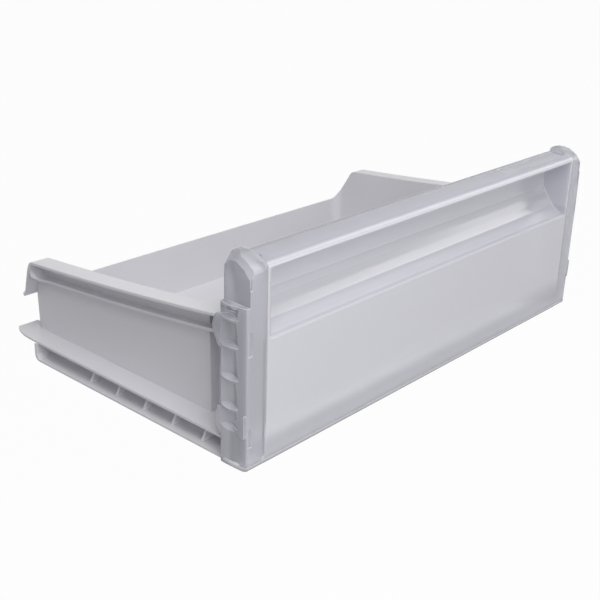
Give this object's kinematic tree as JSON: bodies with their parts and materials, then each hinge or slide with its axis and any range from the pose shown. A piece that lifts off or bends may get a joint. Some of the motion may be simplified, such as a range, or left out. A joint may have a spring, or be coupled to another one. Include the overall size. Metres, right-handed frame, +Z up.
{
  "type": "freezer drawer",
  "caption": "White moulded freezer drawer with a falling side rim, side sliding ledges and a clear front panel with a scooped handle.",
  "frame": {"origin": "centre of the bounding box seen from above, at the level the drawer stands on", "axes": "+X to the right seen from the front, +Y to the back so that the front panel faces -Y, +Z up"},
  "size_m": [0.4448, 0.284, 0.1543],
  "materials": {
    "white_plastic": "satin moulded polystyrene",
    "clear_plastic": "frosted clear moulded polystyrene"
  },
  "bodies": {
    "root": {"tub": "white_plastic", "front_panel": "clear_plastic"}
  },
  "joints": []
}
